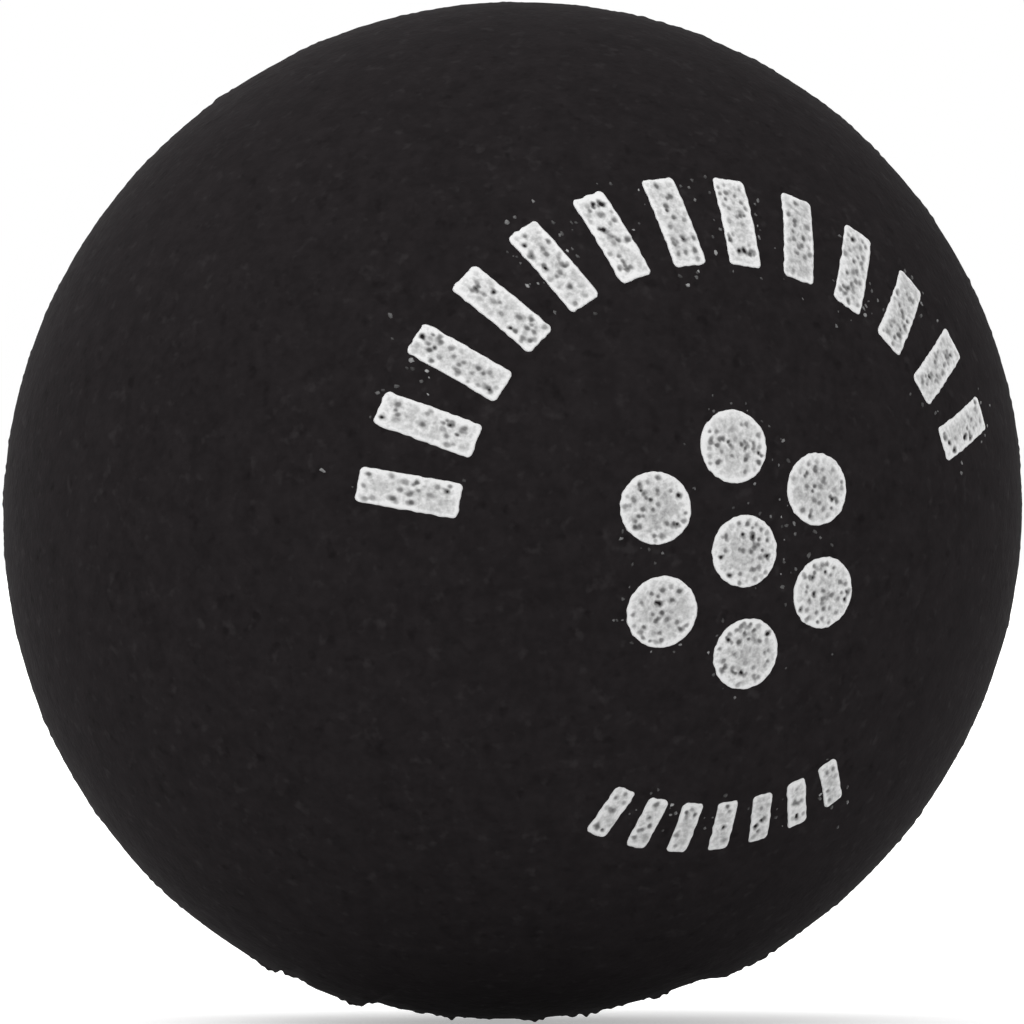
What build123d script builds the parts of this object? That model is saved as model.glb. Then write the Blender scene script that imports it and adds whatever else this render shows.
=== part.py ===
from build123d import *
import os

# Squash ball: two moulded rubber half shells bonded rim to rim, with printed marks on the front half and
# a speed dot on the opposite side. The origin is the ball's centre, -Y points at the front half's pole,
# +Z is up, and the seam lies in the plane Y = 0. Lengths are millimetres, angles degrees.

# Ball
ball_diameter = 40.0
wall_thickness = 4.7
rim_edge_bevel = 0.08

# Bond between the two rims, with the bead of adhesive squeezed out into the cavity
bond_thickness = 0.12
bead_width = 1.6
bead_height = 0.4

# Printed marks: the print's axis is turned to the right of the front pole and dropped below it, and the
# print is rolled about that axis. Each mark's radius is its distance from the axis.
print_turn = 26.4
print_drop = 4.1
print_roll = 6.0
ink_thickness = 0.05
bar_corner_radius = 0.2

upper_bar_count = 13
upper_bar_sweep = 150.0
upper_bar_radius = 12.35
upper_bar_length = 3.2
upper_bar_width = 1.4

outer_dot_count = 6
dot_diameter = 2.8
dot_pitch = 4.0

lower_bar_count = 7
lower_bar_sweep = 52.0
lower_bar_radius = 10.9
lower_bar_length = 2.0
lower_bar_width = 0.9

grade_dot_diameter = 5.0

# Values worked out from the sizes above
outer_radius = ball_diameter / 2
inner_radius = outer_radius - wall_thickness
rim_plane = bond_thickness / 2
land_outer_radius = outer_radius - rim_edge_bevel
straight_up = 90.0
straight_down = -90.0

# Sketch planes through the centre: one looks in along the print's axis, the other from the far side. The
# print's plane starts square to the front pole and is rolled, dropped and turned about fixed axes.
print_plane = Plane.XZ.rotated((0, -print_roll, 0)).rotated((print_drop, 0, 0)).rotated((0, 0, print_turn))
grade_plane = Plane(origin=(0, 0, 0), x_dir=-print_plane.x_dir, z_dir=-print_plane.z_dir)


def keep_ink_film():
    """Trim the open block of the current part to a film of ink that lies on the ball's surface."""
    Sphere(outer_radius + ink_thickness, mode=Mode.INTERSECT)
    Sphere(outer_radius, mode=Mode.SUBTRACT)


# Front half shell: a quarter ring turned about the axis through the poles, its outer rim edge bevelled
with BuildPart() as front_half_shell:
    with BuildSketch(Plane.XY) as wall_section:
        Circle(outer_radius)
        Circle(inner_radius, mode=Mode.SUBTRACT)
        with Locations((0, -rim_plane)):
            Rectangle(outer_radius, outer_radius, align=(Align.MIN, Align.MAX), mode=Mode.INTERSECT)
        chamfer(wall_section.vertices().sort_by(Axis.X)[-1], length=rim_edge_bevel)
    revolve(axis=Axis.Y)

# Rear half shell: the same moulding, turned to face it
with BuildPart() as rear_half_shell:
    mirror(front_half_shell.part, about=Plane.XZ)

# Seam adhesive: a thin layer between the rims and a rounded bead along the inside of the joint
with BuildPart() as seam_adhesive:
    with BuildSketch(Plane.XY):
        with Locations((inner_radius, 0)):
            Ellipse(bead_height, bead_width / 2)
        Circle(inner_radius, mode=Mode.INTERSECT)
        with Locations((inner_radius - bead_height / 2, 0)):
            Rectangle(
                land_outer_radius - inner_radius + bead_height / 2,
                bond_thickness,
                align=(Align.MIN, Align.CENTER),
            )
    revolve(axis=Axis.Y)

# Upper print: an arc of plain bars that point at the print's axis
with BuildPart() as upper_bars_print:
    with BuildSketch(print_plane):
        with PolarLocations(
            upper_bar_radius,
            upper_bar_count,
            start_angle=straight_up - upper_bar_sweep / 2,
            angular_range=upper_bar_sweep,
            endpoint=True,
        ):
            RectangleRounded(upper_bar_length, upper_bar_width, bar_corner_radius)
    extrude(amount=ball_diameter)
    keep_ink_film()

# Centre print: a dot on the axis with a ring of equal dots around it
with BuildPart() as centre_dots_print:
    with BuildSketch(print_plane):
        Circle(dot_diameter / 2)
        with PolarLocations(dot_pitch, outer_dot_count, start_angle=straight_up):
            Circle(dot_diameter / 2)
    extrude(amount=ball_diameter)
    keep_ink_film()

# Lower print: a shorter arc of smaller bars
with BuildPart() as lower_bars_print:
    with BuildSketch(print_plane):
        with PolarLocations(
            lower_bar_radius,
            lower_bar_count,
            start_angle=straight_down - lower_bar_sweep / 2,
            angular_range=lower_bar_sweep,
            endpoint=True,
        ):
            RectangleRounded(lower_bar_length, lower_bar_width, bar_corner_radius)
    extrude(amount=ball_diameter)
    keep_ink_film()

# Grade dot: the coloured dot that tells the ball's speed, straight opposite the print
with BuildPart() as grade_dot:
    with BuildSketch(grade_plane):
        Circle(grade_dot_diameter / 2)
    extrude(amount=ball_diameter)
    keep_ink_film()

front_half_shell.part.label = "front_half_shell"
rear_half_shell.part.label = "rear_half_shell"
seam_adhesive.part.label = "seam_adhesive"
upper_bars_print.part.label = "upper_bars_print"
centre_dots_print.part.label = "centre_dots_print"
lower_bars_print.part.label = "lower_bars_print"
grade_dot.part.label = "grade_dot"

os.makedirs("parts", exist_ok=True)
export_step(front_half_shell.part, "parts/front_half_shell.step")
export_step(rear_half_shell.part, "parts/rear_half_shell.step")
export_step(seam_adhesive.part, "parts/seam_adhesive.step")
export_step(upper_bars_print.part, "parts/upper_bars_print.step")
export_step(centre_dots_print.part, "parts/centre_dots_print.step")
export_step(lower_bars_print.part, "parts/lower_bars_print.step")
export_step(grade_dot.part, "parts/grade_dot.step")
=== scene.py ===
import math
import random

import bmesh
import bpy
from mathutils import Matrix, Vector, noise
from mathutils.geometry import delaunay_2d_cdt


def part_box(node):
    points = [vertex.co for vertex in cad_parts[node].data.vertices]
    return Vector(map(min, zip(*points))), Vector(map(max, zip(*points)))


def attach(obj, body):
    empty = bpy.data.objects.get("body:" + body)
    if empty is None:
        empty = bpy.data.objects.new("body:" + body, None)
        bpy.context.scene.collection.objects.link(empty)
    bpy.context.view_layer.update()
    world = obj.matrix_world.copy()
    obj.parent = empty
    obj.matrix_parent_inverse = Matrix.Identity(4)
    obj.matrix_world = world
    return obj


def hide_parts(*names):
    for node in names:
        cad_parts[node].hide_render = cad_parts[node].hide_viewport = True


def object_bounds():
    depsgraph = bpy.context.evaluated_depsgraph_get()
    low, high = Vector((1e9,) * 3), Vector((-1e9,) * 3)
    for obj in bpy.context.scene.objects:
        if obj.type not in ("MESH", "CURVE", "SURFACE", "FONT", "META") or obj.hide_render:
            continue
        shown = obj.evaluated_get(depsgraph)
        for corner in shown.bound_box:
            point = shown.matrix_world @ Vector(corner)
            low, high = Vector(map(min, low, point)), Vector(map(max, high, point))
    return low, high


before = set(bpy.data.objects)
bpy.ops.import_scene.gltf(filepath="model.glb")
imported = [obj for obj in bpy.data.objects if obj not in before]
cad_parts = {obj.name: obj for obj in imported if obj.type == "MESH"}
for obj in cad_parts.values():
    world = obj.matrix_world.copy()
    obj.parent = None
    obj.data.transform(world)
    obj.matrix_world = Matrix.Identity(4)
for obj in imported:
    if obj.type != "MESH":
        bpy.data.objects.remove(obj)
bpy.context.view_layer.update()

# Squash ball, dressed: the two rubber halves, the bond between them and the printed ink.
# Lengths are metres. The ball's centre is the origin, -Y faces the camera, +Z is up, and the seam
# lies in the plane Y = 0.
mm = 0.001
full_turn = 2 * math.pi
quarter_turn = full_turn / 4

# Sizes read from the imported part
shell_low, shell_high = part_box("front_half_shell")
_, bond_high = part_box("seam_adhesive")
shell_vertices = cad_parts["front_half_shell"].data.vertices
bond_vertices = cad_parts["seam_adhesive"].data.vertices
ball_radius = -shell_low.y
rim_plane = -shell_high.y
inner_radius = min(vertex.co.length for vertex in shell_vertices)
bond_radius = bond_high.x
rim_rounding = ball_radius - bond_radius
bead_half_width = bond_high.y
bead_radius = min(math.hypot(vertex.co.x, vertex.co.z) for vertex in bond_vertices)

# Relief of the rubber: slow waves round the ball, and the height and size of each unevenness
oval_waves = 2
oval_height = 0.14 * mm
oval_turn = math.radians(57)
lobe_waves = 3
lobe_height = 0.023 * mm
lobe_turn = math.radians(25)
swell_height = 0.03 * mm
swell_size = 11 * mm
dimple_height = 0.016 * mm
dimple_size = 2.4 * mm
grain_height = 0.014 * mm
grain_size = 0.55 * mm

# Flash along the seam: low and uneven all round, with finer fuzz on it
flash_half_width = 0.6 * mm
flash_height = 0.08 * mm
flash_size = 1.8 * mm
fuzz_height = 0.05 * mm
fuzz_size = 0.25 * mm

# Nibs of flash: each one's angle round the seam, half width and height
nib_fuzz = 0.9
nibs = (
    (math.radians(242.3), math.radians(5.0), 0.11 * mm),
    (math.radians(252.2), math.radians(3.2), 0.12 * mm),
    (math.radians(298.5), math.radians(4.0), 0.075 * mm),
)

# Trims, where the seam was cut too deep: each one's start, run-in, run-out, end and depth
trims = (
    (math.radians(242.6), math.radians(0.5), math.radians(3.0), math.radians(248.0), 0.15 * mm),
    (math.radians(252.8), math.radians(0.6), math.radians(4.0), math.radians(295.5), 0.3 * mm),
)
trim_half_width = 5 * mm
trim_taper = math.radians(2)

# Torn floor of the trims along the seam: its rise, unevenness and fuzz are shares of the depth
torn_half_width = 1.3 * mm
torn_rise = 0.18
torn_unevenness = 0.8
torn_size = 1.3 * mm
torn_fuzz = 0.4

# Bead of adhesive along the inside of the joint, which swells unevenly
bead_sections = 10
bead_swelling = 0.3
bead_swelling_size = 3 * mm

# Mesh fineness: rings from pole to rim, with more points near the rim, and the spacing in the ink
outer_rings = 160
edge_rings = 5
inner_rings = 30
points_more_per_ring = 6
rim_rows = 4
rim_points = 1920
bond_steps = 1920
ink_spacing = 0.04 * mm
weld_distance = 1e-9
triangles_inside = 1

# Place of the print, as on the part: turned right of the front pole, dropped below it and rolled
print_turn = math.radians(26.4)
print_drop = math.radians(4.1)
print_roll = math.radians(6.0)
print_rotation = (
    Matrix.Rotation(print_turn, 3, "Z")
    @ Matrix.Rotation(print_drop, 3, "X")
    @ Matrix.Rotation(-print_roll, 3, "Y")
)
print_right = print_rotation @ Vector((1, 0, 0))
print_up = print_rotation @ Vector((0, 0, 1))
print_axis = print_rotation @ Vector((0, -1, 0))

# Sizes of the printed marks, as on the part
bar_corner = 0.2 * mm
upper_bar_count = 13
upper_bar_sweep = math.radians(150)
upper_bar_radius = 12.35 * mm
upper_bar_length = 3.2 * mm
upper_bar_width = 1.4 * mm
outer_dot_count = 6
dot_diameter = 2.8 * mm
dot_pitch = 4.0 * mm
lower_bar_count = 7
lower_bar_sweep = math.radians(52)
lower_bar_radius = 10.9 * mm
lower_bar_length = 2.0 * mm
lower_bar_width = 0.9 * mm
grade_dot_diameter = 5.0 * mm

# Film of ink and its ragged edge
ink_seed = 11
ink_height = 0.028 * mm
ink_edge_depth = 0.008 * mm
ink_slope = 0.07 * mm
ink_root_depth = 0.06 * mm
ragged_height = 0.05 * mm
ragged_size = 0.24 * mm

# Lightness of the ink: the whole mark, its light border and a fade from the border inwards
mark_light_high = 0.25
light_edge_strength = 0.75
light_edge_width = 0.32 * mm
light_edge_unevenness = 0.7
light_edge_run = 0.7 * mm
light_fade_strength = 0.35
light_fade_width = 1.1 * mm

# Pinholes in the ink, in loose clusters; the floor and the rim are measured in radii of the hole
silver_pinholes_per_area = 15.0 / mm**2
yellow_pinholes_per_area = 2.5 / mm**2
pinhole_cluster = 1.1 * mm
pinhole_crowding_low = -0.5
pinhole_crowding_high = 0.3
pinhole_margin = 0.17 * mm
pinhole_radius_low = 0.1 * mm
pinhole_radius_high = 0.17 * mm
pinhole_openness_low = 0.2
pinhole_openness_high = 0.95
pinhole_openness_usual = 0.65
pinhole_bend = 0.5
pinhole_bend_size = 0.15 * mm
pinhole_depth = 0.004 * mm
pinhole_floor = 0.3
pinhole_rim_peak = 1.6
pinhole_rim_end = 2.3
pinhole_rim_height = 0.008 * mm
pinhole_rim_light = 0.55

# Faint specks of stray ink round the marks, in loose clusters
specks_per_length = 2.6 / mm
speck_cluster = 3.5 * mm
speck_crowding_low = -0.2
speck_crowding_high = 0.4
speck_sides = 8
speck_gap = 0.1 * mm
speck_reach = 0.26 * mm
speck_radius_low = 0.04 * mm
speck_radius_high = 0.11 * mm
speck_side_low = 0.6
speck_side_high = 1.2
speck_stretch = 1.6
speck_strength = 0.22

# Range in which most of a noise lies
usual_noise = (0.3, 0.7)

# Finish of the rubber: colours, then the size, range and share of each unevenness in them
rubber_dark = (0.0112, 0.0097, 0.0102)
rubber_light = (0.0179, 0.0156, 0.0164)
rubber_gloss = 0.008
rubber_sheen = 0.002
rubber_sheen_roughness = 0.4
rubber_roughness = (0.66, 0.8)
fine_grain_size = 0.36 * mm
fine_grain_roughness = 0.55
fine_grain_range = (0.36, 0.64)
fine_grain_share = (0.0, 0.4)
blotch_size = 0.95 * mm
blotch_share = (0.0, 0.5)
patch_size = 7 * mm
patch_share = (0.0, 0.1)
scuff_colour = (0.032, 0.029, 0.030)
scuff_size = 0.55 * mm
scuff_range = (0.6, 0.76)
scuff_share = (0.0, 0.45)
pore_colour = (0.006, 0.005, 0.0053)
pore_size = 0.6 * mm
pore_range = (0.24, 0.39)
pore_share = (0.5, 0.0)
rubber_bump_size = 0.22 * mm
rubber_bump_depth = 0.028 * mm

# Finish of the ink: a shade and a light colour for each ink, mixed by its mottle and its lightness
silver_shade = (0.17, 0.17, 0.17)
silver_light = (0.72, 0.72, 0.72)
yellow_shade = (0.66, 0.43, 0.012)
yellow_light = (0.86, 0.61, 0.025)
pinhole_colour = (0.02, 0.019, 0.019)
ink_gloss = 0.3
ink_roughness = (0.62, 0.45)
ink_light_share = 0.6
ink_mottle_size = 0.2 * mm
ink_mottle_roughness = 0.6
ink_mottle_share = (0.1, 0.55)
ink_bump_depth = 0.02 * mm

# Finish of the adhesive
adhesive_dark = (0.008, 0.007, 0.0065)
adhesive_light = (0.024, 0.021, 0.02)
adhesive_gloss = 0.15
adhesive_roughness = (0.7, 0.85)
adhesive_grain_size = 0.3 * mm
adhesive_bump_depth = 0.02 * mm


def smooth_step(low, high, value):
    """0 up to low, 1 from high, and an even curve between."""
    part = min(max((value - low) / (high - low), 0.0), 1.0)
    return part * part * (3 - 2 * part)


# Rubber relief


def nib_at(angle):
    """Height of the nibs of flash at an angle round the seam."""
    height = 0.0
    for middle, half_width, nib_height in nibs:
        height += nib_height * (1 - smooth_step(0, half_width, abs(angle - middle)))
    return height


def trim_at(angle, taper):
    """Depth of the trims at an angle round the seam, where their ends draw in by the taper."""
    depth = 0.0
    for start, run_in, run_out, end, trim_depth in trims:
        into = smooth_step(start + taper, start + taper + run_in, angle)
        out_of = smooth_step(end - taper - run_out, end - taper, angle)
        depth += trim_depth * max(into - out_of, 0.0)
    return depth


def seam_at(direction):
    """Height of the seam: flash all round, less the trims, whose floor is torn along the seam."""
    place = direction * ball_radius
    trim_band = math.exp(-((place.y / trim_half_width) ** 2))
    torn_band = math.exp(-((place.y / torn_half_width) ** 2))
    flash_band = math.exp(-((place.y / flash_half_width) ** 2))
    angle = math.atan2(direction.z, direction.x) % full_turn
    depth = trim_at(angle, trim_taper * (place.y / trim_half_width) ** 2)
    round_seam = Vector((place.x, 0, place.z))
    fuzz = noise.noise(round_seam / fuzz_size)
    flash = flash_height * noise.noise(round_seam / flash_size) + fuzz_height * fuzz
    flash += nib_at(angle) * (1 + nib_fuzz * fuzz)
    torn = depth * (torn_rise + torn_unevenness * noise.noise(round_seam / torn_size) + torn_fuzz * fuzz)
    return flash_band * flash + torn_band * torn - trim_band * depth


def relief_at(direction):
    """How far the rubber stands proud of the true sphere in the direction of a unit vector."""
    place = direction * ball_radius
    angle = math.atan2(direction.z, direction.x)
    across = math.hypot(direction.x, direction.z)
    relief = oval_height * across**oval_waves * math.cos(oval_waves * (angle - oval_turn))
    relief += lobe_height * across**lobe_waves * math.cos(lobe_waves * (angle - lobe_turn))
    relief += swell_height * noise.noise(place / swell_size)
    relief += dimple_height * noise.noise(place / dimple_size)
    relief += grain_height * noise.noise(place / grain_size)
    return relief + seam_at(direction)


# Meshes


def zip_rings(first, first_count, second, second_count):
    """Triangles between two rings of points that each go evenly round; a pole is a ring of one point."""
    first_steps = first_count if first_count > 1 else 0
    second_steps = second_count if second_count > 1 else 0
    faces = []
    a = 0
    b = 0
    while a < first_steps or b < second_steps:
        corner_a = first + a % first_count
        corner_b = second + b % second_count
        first_is_behind = (a + 1) * second_count <= (b + 1) * first_count
        if a < first_steps and (first_is_behind or b == second_steps):
            a += 1
            faces.append((corner_a, first + a % first_count, corner_b))
        else:
            b += 1
            faces.append((corner_a, second + b % second_count, corner_b))
    return faces


def skin(rings):
    """Points and triangles of the surface through a row of rings."""
    points = []
    faces = []
    last_start = 0
    last_count = 0
    for ring in rings:
        start = len(points)
        points.extend(ring)
        if last_count:
            faces.extend(zip_rings(last_start, last_count, start, len(ring)))
        last_start = start
        last_count = len(ring)
    return points, faces


def add_piece(name, points, faces, material):
    """A smooth-shaded mesh piece whose faces look outwards."""
    mesh = bpy.data.meshes.new(name)
    mesh.from_pydata(points, [], faces)
    work = bmesh.new()
    work.from_mesh(mesh)
    bmesh.ops.recalc_face_normals(work, faces=work.faces)
    work.to_mesh(mesh)
    work.free()
    mesh.shade_smooth()
    mesh.materials.append(material)
    piece = bpy.data.objects.new(name, mesh)
    bpy.context.scene.collection.objects.link(piece)
    return piece


def dress(piece, node):
    """The piece stands for a node of the part and moves with the ball."""
    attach(piece, "root")
    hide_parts(node)


# Half shells


def turned(side, tilt, turn):
    """Unit vector at an angle from the pole of one half and a share of a turn round it."""
    angle = full_turn * turn
    across = math.sin(tilt)
    return Vector((across * math.cos(angle), side * math.cos(tilt), across * math.sin(angle)))


def spread(count, place):
    """A ring of points: place gives the point at each share of a turn."""
    return [place(step / count) for step in range(count)]


def half_shell(name, side, material):
    """One moulded half: grained outside, rounded rim, flat land and smooth bowl. Side is -1 in front."""
    outer_tilt = math.acos((rim_plane + rim_rounding) / ball_radius)
    inner_tilt = math.acos(rim_plane / inner_radius)

    def outer_point(tilt, turn):
        direction = turned(side, tilt, turn)
        return direction * (ball_radius + relief_at(direction))

    def rim_point(part, turn):
        direction = turned(side, quarter_turn, turn)
        angle = part * quarter_turn
        out = ball_radius + relief_at(direction) - rim_rounding * (1 - math.cos(angle))
        along = rim_plane + rim_rounding * (1 - math.sin(angle))
        return Vector((direction.x * out, side * along, direction.z * out))

    def inner_point(tilt, turn):
        return turned(side, tilt, turn) * inner_radius

    rings = [[outer_point(0, 0)]]
    for ring in range(1, outer_rings + 1):
        tilt = outer_tilt * ring / outer_rings
        count = rim_points if ring > outer_rings - edge_rings else points_more_per_ring * ring
        rings.append(spread(count, lambda turn: outer_point(tilt, turn)))
    for row in range(1, rim_rows + 1):
        rings.append(spread(rim_points, lambda turn: rim_point(row / rim_rows, turn)))
    for ring in range(inner_rings, 0, -1):
        tilt = inner_tilt * ring / inner_rings
        rings.append(spread(points_more_per_ring * ring, lambda turn: inner_point(tilt, turn)))
    rings.append([inner_point(0, 0)])
    points, faces = skin(rings)
    return add_piece(name, points, faces, material)


# Seam adhesive


def seam_bond(name, material):
    """The layer between the rims, with the bead squeezed out along the inside of the joint."""

    def section(turn):
        angle = full_turn * turn
        direction = Vector((math.cos(angle), 0, math.sin(angle)))
        swelling = 1 + bead_swelling * noise.noise(direction * bead_radius / bead_swelling_size)
        out = bond_radius + relief_at(direction)
        corners = [(out, -rim_plane), (out, rim_plane), (inner_radius, rim_plane)]
        for step in range(bead_sections + 1):
            share = math.pi * step / bead_sections
            height = (inner_radius - bead_radius) * math.sin(share) * swelling
            along = bead_half_width * math.cos(share)
            corners.append((math.sqrt(inner_radius**2 - along**2) - height, along))
        corners.append((inner_radius, -rim_plane))
        return [Vector((direction.x * out, along, direction.z * out)) for out, along in corners]

    points = []
    faces = []
    for step in range(bond_steps):
        points.extend(section(step / bond_steps))
    width = len(points) // bond_steps
    for step in range(bond_steps):
        here = step * width
        there = (step + 1) % bond_steps * width
        for corner in range(width):
            after = (corner + 1) % width
            faces.append((here + corner, here + after, there + after, there + corner))
    return add_piece(name, points, faces, material)


# Printed ink


class Film:
    """Ink in the making: its points and faces, and how it lies at each point."""

    def __init__(self, right, up, axis):
        self.right = right
        self.up = up
        self.axis = axis
        self.points = []
        self.faces = []
        self.cover = []
        self.light = []

    def place(self, u, v, height):
        """Point over a place of the print, seen along its axis, at a height over the rubber."""
        depth = math.sqrt(ball_radius**2 - u * u - v * v)
        direction = (self.right * u + self.up * v + self.axis * depth).normalized()
        return direction * (ball_radius + relief_at(direction) + height)

    def add(self, points, faces, cover, light):
        """Add a patch of points and faces to the film."""
        start = len(self.points)
        self.points.extend(points)
        self.faces.extend(tuple(start + corner for corner in face) for face in faces)
        self.cover.extend(cover)
        self.light.extend(light)

    def piece(self, name, material):
        """The finished film as a piece, with its values at each point."""
        piece = add_piece(name, self.points, self.faces, material)
        for label, values in (("ink_cover", self.cover), ("ink_light", self.light)):
            attribute = piece.data.attributes.new(label, "FLOAT", "POINT")
            attribute.data.foreach_set("value", values)
        return piece


class Mark:
    """A rounded bar of the print, or a dot where its corners meet: its middle, turn and sizes."""

    def __init__(self, u, v, turn, length, width, corner):
        self.u = u
        self.v = v
        self.turn = turn
        self.length = length
        self.width = width
        self.corner = corner

    def on_print(self, along, across):
        """Place on the print of a point of the mark."""
        u = self.u + along * math.cos(self.turn) - across * math.sin(self.turn)
        v = self.v + along * math.sin(self.turn) + across * math.cos(self.turn)
        return u, v

    def inside(self, along, across):
        """How far a point of the mark lies inside its outline."""
        over_along = abs(along) - (self.length / 2 - self.corner)
        over_across = abs(across) - (self.width / 2 - self.corner)
        beyond = math.hypot(max(over_along, 0), max(over_across, 0))
        return self.corner - beyond - min(max(over_along, over_across), 0)

    def outline(self, spacing):
        """Points round the mark, each with the direction in which it faces out."""
        half_along = self.length / 2 - self.corner
        half_across = self.width / 2 - self.corner
        middles = [
            Vector((half_along, half_across)),
            Vector((-half_along, half_across)),
            Vector((-half_along, -half_across)),
            Vector((half_along, -half_across)),
        ]
        points = []
        for index, middle in enumerate(middles):
            arc_steps = math.ceil(self.corner * quarter_turn / spacing)
            for step in range(arc_steps):
                angle = (index + step / arc_steps) * quarter_turn
                facing = Vector((math.cos(angle), math.sin(angle)))
                points.append((middle + facing * self.corner, facing))
            run = middles[(index + 1) % len(middles)] - middle
            run_steps = math.ceil(run.length / spacing)
            angle = (index + 1) * quarter_turn
            facing = Vector((math.cos(angle), math.sin(angle)))
            for step in range(run_steps):
                points.append((middle + run * (step / run_steps) + facing * self.corner, facing))
        return points


def pinholes(mark, per_area, draw):
    """Place, radius and openness of each pinhole in a mark: in loose clusters, clear of its edge."""
    holes = []
    for _ in range(round(mark.length * mark.width * per_area)):
        middle = Vector((draw.uniform(-0.5, 0.5) * mark.length, draw.uniform(-0.5, 0.5) * mark.width))
        radius = draw.uniform(pinhole_radius_low, pinhole_radius_high)
        openness = draw.triangular(pinhole_openness_low, pinhole_openness_high, pinhole_openness_usual)
        crowding = noise.noise(Vector((*mark.on_print(*middle), 0)) / pinhole_cluster)
        if mark.inside(*middle) <= pinhole_margin:
            continue
        if crowding > draw.uniform(pinhole_crowding_low, pinhole_crowding_high):
            holes.append((middle, radius, openness))
    return holes


def among_pinholes(point, holes, bend):
    """How whole the ink is at a point, from 1 down to near 0, and how much pinhole rim lies there."""
    solid = 1.0
    rim = 0.0
    for middle, radius, openness in holes:
        reach = (point - middle).length / radius * (1 + pinhole_bend * bend)
        if reach < 1:
            solid *= 1 - openness * (1 - smooth_step(pinhole_floor, 1.0, reach))
        elif reach < pinhole_rim_peak:
            rim = max(rim, openness * smooth_step(1.0, pinhole_rim_peak, reach))
        elif reach < pinhole_rim_end:
            rim = max(rim, openness * (1 - smooth_step(pinhole_rim_peak, pinhole_rim_end, reach)))
    return solid, rim * solid


def print_mark(film, mark, pinholes_per_area, draw):
    """Add one mark to the film: a ragged, pinholed patch of ink, closed under the rubber's surface."""
    rim = []
    for point, facing in mark.outline(ink_spacing):
        u, v = mark.on_print(*point)
        raggedness = noise.noise(Vector((u, v, 0)) / ragged_size)
        rim.append(point + facing * (ragged_height * raggedness))
    grid = []
    row_height = ink_spacing * math.sqrt(3) / 2
    rows = int(mark.width / 2 / row_height)
    columns = int(mark.length / 2 / ink_spacing)
    for row in range(-rows, rows + 1):
        for column in range(-columns, columns + 1):
            point = Vector(((column + row % 2 / 2) * ink_spacing, row * row_height))
            if mark.inside(*point) > ink_spacing / 2 + ragged_height / 2:
                grid.append(point)
    border = [(index, (index + 1) % len(rim)) for index in range(len(rim))]
    mesh = delaunay_2d_cdt(rim + grid, border, [], triangles_inside, weld_distance)
    flat, _, faces, origins, _, _ = mesh

    holes = pinholes(mark, pinholes_per_area, draw)
    mark_light = draw.uniform(0.0, mark_light_high)
    points = []
    cover = []
    light = []
    on_rim = {}
    for index, point in enumerate(flat):
        u, v = mark.on_print(*point)
        on_print = Vector((u, v, 0))
        inside = mark.inside(*point)
        solid, pinhole_rim = among_pinholes(point, holes, noise.noise(on_print / pinhole_bend_size))
        edge_unevenness = light_edge_unevenness * noise.noise(on_print / light_edge_run)
        edge_width = light_edge_width * (1 + edge_unevenness)
        height = ink_height * smooth_step(0, ink_slope, inside) * solid - pinhole_depth * (1 - solid)
        height += pinhole_rim_height * pinhole_rim
        rim_index = min(origins[index])
        if rim_index < len(rim):
            on_rim[rim_index] = index
            height = -ink_edge_depth
        points.append(film.place(u, v, height))
        cover.append(solid)
        edge_light = light_edge_strength * (1 - smooth_step(0, edge_width, inside))
        fading_light = light_fade_strength * (1 - smooth_step(0, light_fade_width, inside))
        light.append(mark_light + edge_light + fading_light + pinhole_rim_light * pinhole_rim)
    root = len(points)
    points.append(film.place(mark.u, mark.v, -ink_root_depth))
    cover.append(1.0)
    light.append(0.0)
    loop = [on_rim[index] for index in range(len(rim)) if index in on_rim]
    for here, after in zip(loop, loop[1:] + loop[:1]):
        faces.append((after, here, root))
    film.add(points, faces, cover, light)


def print_specks(film, mark, draw):
    """Scatter small faint specks of stray ink round a mark."""
    outline = mark.outline(ink_spacing)
    for _ in range(round(len(outline) * ink_spacing * specks_per_length)):
        point, facing = draw.choice(outline)
        out = speck_gap + draw.expovariate(1 / speck_reach)
        strength = min(draw.expovariate(1 / speck_strength), 1.0)
        middle = draw.uniform(speck_radius_low, speck_radius_high)
        stretch = draw.uniform(1.0, speck_stretch)
        lie = draw.uniform(0, math.pi)
        u, v = mark.on_print(*(point + facing * out))
        crowding = noise.noise(Vector((u, v, 0)) / speck_cluster)
        if crowding < draw.uniform(speck_crowding_low, speck_crowding_high):
            continue
        points = []
        for side in range(speck_sides):
            angle = full_turn * side / speck_sides
            radius = middle * draw.uniform(speck_side_low, speck_side_high)
            along = radius * stretch * math.cos(angle)
            across = radius * math.sin(angle)
            place_u = u + along * math.cos(lie) - across * math.sin(lie)
            place_v = v + along * math.sin(lie) + across * math.cos(lie)
            points.append(film.place(place_u, place_v, -ink_edge_depth / 2))
        points.append(film.place(u, v, ink_height / 2))
        points.append(film.place(u, v, -ink_root_depth / 2))
        faces = []
        for side in range(speck_sides):
            after = (side + 1) % speck_sides
            faces.append((side, after, speck_sides))
            faces.append((after, side, speck_sides + 1))
        film.add(points, faces, [strength] * len(points), [0.0] * len(points))


def printed(name, marks, axes, pinholes_per_area, material):
    """A film of several marks with specks round them."""
    film = Film(*axes)
    draw = random.Random(ink_seed)
    for mark in marks:
        print_mark(film, mark, pinholes_per_area, draw)
        print_specks(film, mark, draw)
    return film.piece(name, material)


def arc_of_bars(middle, sweep, count, radius, length, width):
    """Bars that point at the print's axis, spread over an arc about a middle angle."""
    marks = []
    for index in range(count):
        turn = middle + sweep * (index / (count - 1) - 0.5)
        u = radius * math.cos(turn)
        v = radius * math.sin(turn)
        marks.append(Mark(u, v, turn, length, width, bar_corner))
    return marks


def dot(u, v, diameter):
    """A round mark."""
    return Mark(u, v, 0, diameter, diameter, diameter / 2)


# Materials


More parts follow.
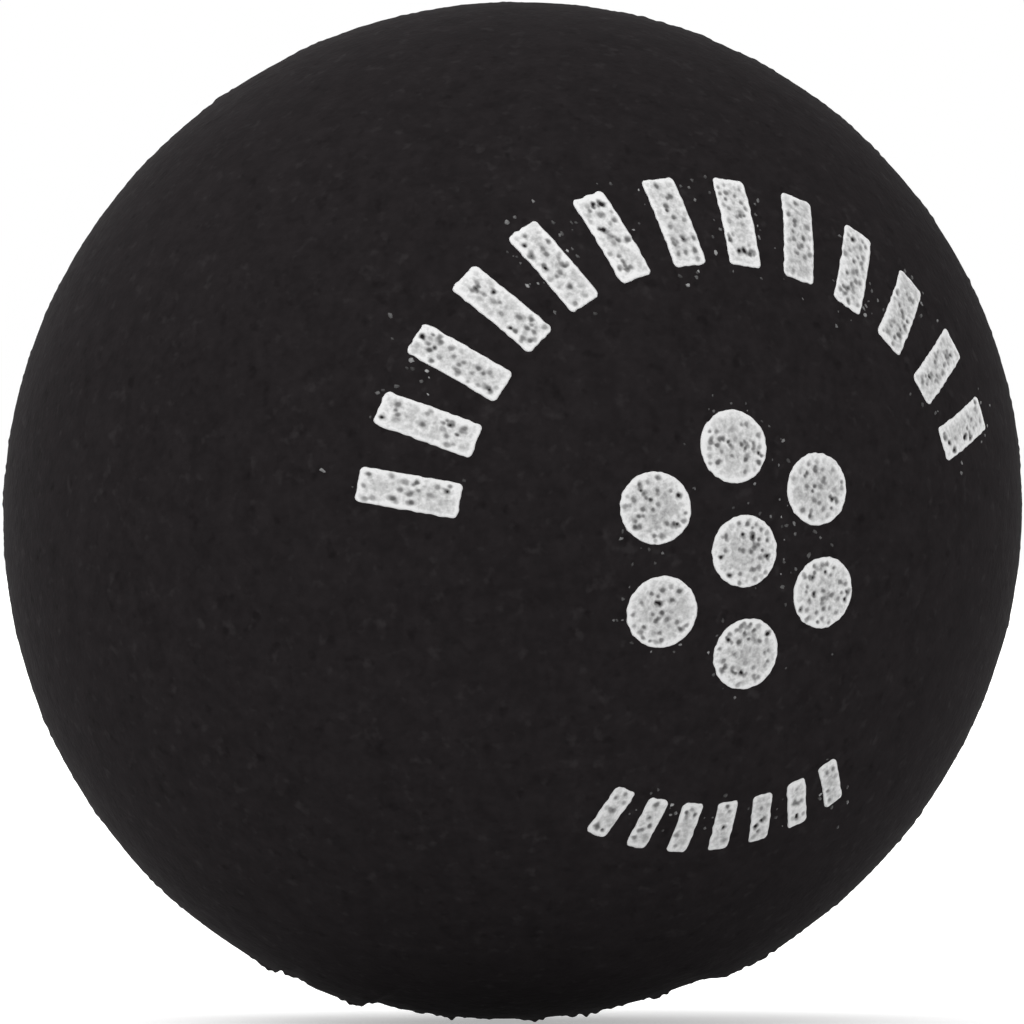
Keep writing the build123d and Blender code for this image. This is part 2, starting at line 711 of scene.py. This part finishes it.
class Shader:
    """A material in the making, with short ways to add the nodes that these finishes need."""

    mix_colour_inputs = (6, 7)
    mix_colour_output = 2

    def __init__(self, name):
        self.material = bpy.data.materials.new(name)
        self.material.use_nodes = True
        self.tree = self.material.node_tree
        self.surface = self.tree.nodes["Principled BSDF"]
        self.coordinates = self.tree.nodes.new("ShaderNodeTexCoord").outputs["Object"]

    def set(self, **values):
        """Set plain values on the surface, by input name with _ for a space."""
        for name, value in values.items():
            self.surface.inputs[name.replace("_", " ")].default_value = value

    def feed(self, output, name):
        """Link an output to one of the surface's inputs."""
        self.tree.links.new(output, self.surface.inputs[name])

    def noise(self, size, detail=2.0, roughness=0.5):
        """Noise with blotches of about the given size."""
        node = self.tree.nodes.new("ShaderNodeTexNoise")
        node.inputs["Scale"].default_value = 1 / size
        node.inputs["Detail"].default_value = detail
        node.inputs["Roughness"].default_value = roughness
        self.tree.links.new(self.coordinates, node.inputs["Vector"])
        return node.outputs["Fac"]

    def attribute(self, name):
        """A value that the mesh holds at each point."""
        node = self.tree.nodes.new("ShaderNodeAttribute")
        node.attribute_name = name
        return node.outputs["Fac"]

    def remap(self, value, old_range, new_range):
        """Spread a value's range over another range."""
        node = self.tree.nodes.new("ShaderNodeMapRange")
        node.inputs["From Min"].default_value = old_range[0]
        node.inputs["From Max"].default_value = old_range[1]
        node.inputs["To Min"].default_value = new_range[0]
        node.inputs["To Max"].default_value = new_range[1]
        self.tree.links.new(value, node.inputs["Value"])
        return node.outputs["Result"]

    def math(self, operation, first, second):
        """Work on two values; the second may be a plain number."""
        node = self.tree.nodes.new("ShaderNodeMath")
        node.operation = operation
        self.tree.links.new(first, node.inputs[0])
        if isinstance(second, float):
            node.inputs[1].default_value = second
        else:
            self.tree.links.new(second, node.inputs[1])
        return node.outputs["Value"]

    def mix(self, factor, first, second):
        """Mix two colours; each is a plain colour or an output."""
        node = self.tree.nodes.new("ShaderNodeMix")
        node.data_type = "RGBA"
        self.tree.links.new(factor, node.inputs["Factor"])
        for index, colour in zip(self.mix_colour_inputs, (first, second)):
            if isinstance(colour, tuple):
                node.inputs[index].default_value = (*colour, 1.0)
            else:
                self.tree.links.new(colour, node.inputs[index])
        return node.outputs[self.mix_colour_output]

    def bump(self, height, depth):
        """Bump the surface by a height from 0 to 1 times a depth."""
        node = self.tree.nodes.new("ShaderNodeBump")
        node.inputs["Distance"].default_value = depth
        self.tree.links.new(height, node.inputs["Height"])
        self.feed(node.outputs["Normal"], "Normal")


def rubber_material():
    """Matte black rubber: fine grain, faint patches, rare scuffs and pores, and a soft grazing sheen."""
    shader = Shader("black_rubber")
    shader.set(
        Specular_IOR_Level=rubber_gloss,
        Sheen_Weight=rubber_sheen,
        Sheen_Roughness=rubber_sheen_roughness,
    )
    grain = shader.noise(fine_grain_size, roughness=fine_grain_roughness)
    blotches = shader.noise(blotch_size)
    patches = shader.noise(patch_size)
    tone = shader.remap(grain, fine_grain_range, fine_grain_share)
    tone = shader.math("ADD", tone, shader.remap(blotches, usual_noise, blotch_share))
    tone = shader.math("ADD", tone, shader.remap(patches, usual_noise, patch_share))
    colour = shader.mix(tone, rubber_dark, rubber_light)
    scuffs = shader.remap(shader.noise(scuff_size), scuff_range, scuff_share)
    colour = shader.mix(scuffs, colour, scuff_colour)
    pores = shader.remap(shader.noise(pore_size), pore_range, pore_share)
    colour = shader.mix(pores, colour, pore_colour)
    shader.feed(colour, "Base Color")
    shader.feed(shader.remap(grain, usual_noise, rubber_roughness), "Roughness")
    shader.bump(shader.noise(rubber_bump_size), rubber_bump_depth)
    return shader.material


def ink_material(name, shade, light):
    """Printed ink: lighter at its edges, mottled inside, and dark where a pinhole opens the film."""
    shader = Shader(name)
    shader.set(Specular_IOR_Level=ink_gloss)
    mottle = shader.noise(ink_mottle_size, roughness=ink_mottle_roughness)
    lightness = shader.math("MULTIPLY", shader.attribute("ink_light"), ink_light_share)
    tone = shader.math("ADD", shader.remap(mottle, usual_noise, ink_mottle_share), lightness)
    ink = shader.mix(tone, shade, light)
    shader.feed(shader.mix(shader.attribute("ink_cover"), pinhole_colour, ink), "Base Color")
    shader.feed(shader.remap(mottle, usual_noise, ink_roughness), "Roughness")
    shader.bump(mottle, ink_bump_depth)
    return shader.material


def adhesive_material():
    """Dull cured rubber adhesive."""
    shader = Shader("seam_adhesive")
    shader.set(Specular_IOR_Level=adhesive_gloss)
    grain = shader.noise(adhesive_grain_size)
    shader.feed(shader.mix(grain, adhesive_dark, adhesive_light), "Base Color")
    shader.feed(shader.remap(grain, usual_noise, adhesive_roughness), "Roughness")
    shader.bump(grain, adhesive_bump_depth)
    return shader.material


# Pieces
rubber = rubber_material()
silver_ink = ink_material("silver_ink", silver_shade, silver_light)
yellow_ink = ink_material("yellow_ink", yellow_shade, yellow_light)
print_axes = (print_right, print_up, print_axis)
grade_axes = (-print_right, print_up, -print_axis)

dress(half_shell("front_rubber_half", -1, rubber), "front_half_shell")
dress(half_shell("rear_rubber_half", 1, rubber), "rear_half_shell")
dress(seam_bond("seam_bond", adhesive_material()), "seam_adhesive")

upper_bars = arc_of_bars(
    quarter_turn, upper_bar_sweep, upper_bar_count, upper_bar_radius, upper_bar_length, upper_bar_width
)
upper_ink = printed("upper_bars_ink", upper_bars, print_axes, silver_pinholes_per_area, silver_ink)
dress(upper_ink, "upper_bars_print")

centre_dots = [dot(0, 0, dot_diameter)]
for index in range(outer_dot_count):
    turn = quarter_turn + full_turn * index / outer_dot_count
    centre_dots.append(dot(dot_pitch * math.cos(turn), dot_pitch * math.sin(turn), dot_diameter))
centre_ink = printed("centre_dots_ink", centre_dots, print_axes, silver_pinholes_per_area, silver_ink)
dress(centre_ink, "centre_dots_print")

lower_bars = arc_of_bars(
    -quarter_turn, lower_bar_sweep, lower_bar_count, lower_bar_radius, lower_bar_length, lower_bar_width
)
lower_ink = printed("lower_bars_ink", lower_bars, print_axes, silver_pinholes_per_area, silver_ink)
dress(lower_ink, "lower_bars_print")

grade_dots = [dot(0, 0, grade_dot_diameter)]
grade_ink = printed("grade_dot_ink", grade_dots, grade_axes, yellow_pinholes_per_area, yellow_ink)
dress(grade_ink, "grade_dot")


# Floor, light and camera


def seen_directly(tree):
    """1 for what the camera sees, straight, mirrored or through glass, and 0 for light that spreads."""
    path = tree.nodes.new("ShaderNodeLightPath")
    total = path.outputs["Is Camera Ray"]
    for name in ("Is Glossy Ray", "Is Transmission Ray"):
        add = tree.nodes.new("ShaderNodeMath")
        add.operation = "ADD"
        add.use_clamp = True
        tree.links.new(total, add.inputs[0])
        tree.links.new(path.outputs[name], add.inputs[1])
        total = add.outputs["Value"]
    return total


def scaled(tree, value, low, high):
    """Turn 0 and 1 into a low and a high value."""
    node = tree.nodes.new("ShaderNodeMapRange")
    node.inputs["To Min"].default_value = low
    node.inputs["To Max"].default_value = high
    tree.links.new(value, node.inputs["Value"])
    return node.outputs["Result"]


def white_floor(level):
    """A plain pale floor at a level, which reads as white and keeps the ball's shadow."""
    half_size = 5.0
    colour = (0.88, 0.88, 0.88, 1.0)
    glow = 0.42
    material = bpy.data.materials.new("white_floor")
    material.use_nodes = True
    tree = material.node_tree
    surface = tree.nodes["Principled BSDF"]
    surface.inputs["Base Color"].default_value = colour
    surface.inputs["Roughness"].default_value = 1.0
    surface.inputs["Specular IOR Level"].default_value = 0.0
    surface.inputs["Emission Color"].default_value = (1.0, 1.0, 1.0, 1.0)
    tree.links.new(scaled(tree, seen_directly(tree), 0.0, glow), surface.inputs["Emission Strength"])
    mesh = bpy.data.meshes.new("floor")
    corners = [
        (-half_size, -half_size, level),
        (half_size, -half_size, level),
        (half_size, half_size, level),
        (-half_size, half_size, level),
    ]
    mesh.from_pydata(corners, [], [(0, 1, 2, 3)])
    mesh.materials.append(material)
    floor = bpy.data.objects.new("floor", mesh)
    bpy.context.scene.collection.objects.link(floor)


def soft_lamp(name, direction, strength):
    """A broad distant lamp that shines from the given direction."""
    lamp_width = math.radians(80)
    data = bpy.data.lights.new(name, "SUN")
    data.energy = strength
    data.angle = lamp_width
    lamp = bpy.data.objects.new(name, data)
    lamp.rotation_euler = Vector(direction).to_track_quat("Z", "Y").to_euler()
    bpy.context.scene.collection.objects.link(lamp)


def studio_light():
    """An even white room, a soft key light from above in front, and an edge light from behind, left."""
    room_light = 0.75
    key_from = (-0.15, -0.35, 0.90)
    key_strength = 1.4
    edge_from = (-0.65, 0.55, 0.50)
    edge_strength = 0.9
    world = bpy.data.worlds.new("white_room")
    world.use_nodes = True
    tree = world.node_tree
    background = tree.nodes["Background"]
    background.inputs["Color"].default_value = (1.0, 1.0, 1.0, 1.0)
    tree.links.new(scaled(tree, seen_directly(tree), room_light, 1.0), background.inputs["Strength"])
    bpy.context.scene.world = world
    soft_lamp("key_light", key_from, key_strength)
    soft_lamp("edge_light", edge_from, edge_strength)


def photo_camera():
    """A level camera in front of the ball, far enough away to see it as the photograph does."""
    distance = 0.7
    picture_width = 1024
    ball_radius_in_pixels = 510.8
    ball_right_in_pixels = 0.6
    ball_down_in_pixels = 1.8
    sensor_width = 36.0
    data = bpy.data.cameras.new("camera")
    data.sensor_fit = "HORIZONTAL"
    data.sensor_width = sensor_width
    half_angle = math.asin(ball_radius / distance)
    data.lens = sensor_width * ball_radius_in_pixels / (picture_width * math.tan(half_angle))
    data.clip_start = 0.01
    data.clip_end = 50.0
    camera = bpy.data.objects.new("camera", data)
    pixel = ball_radius / ball_radius_in_pixels
    camera.location = (-ball_right_in_pixels * pixel, -distance, ball_down_in_pixels * pixel)
    camera.rotation_euler = (quarter_turn, 0, 0)
    bpy.context.scene.collection.objects.link(camera)
    bpy.context.scene.camera = camera


low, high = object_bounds()
white_floor(low.z)
studio_light()
photo_camera()
bpy.context.scene.view_settings.view_transform = "Standard"
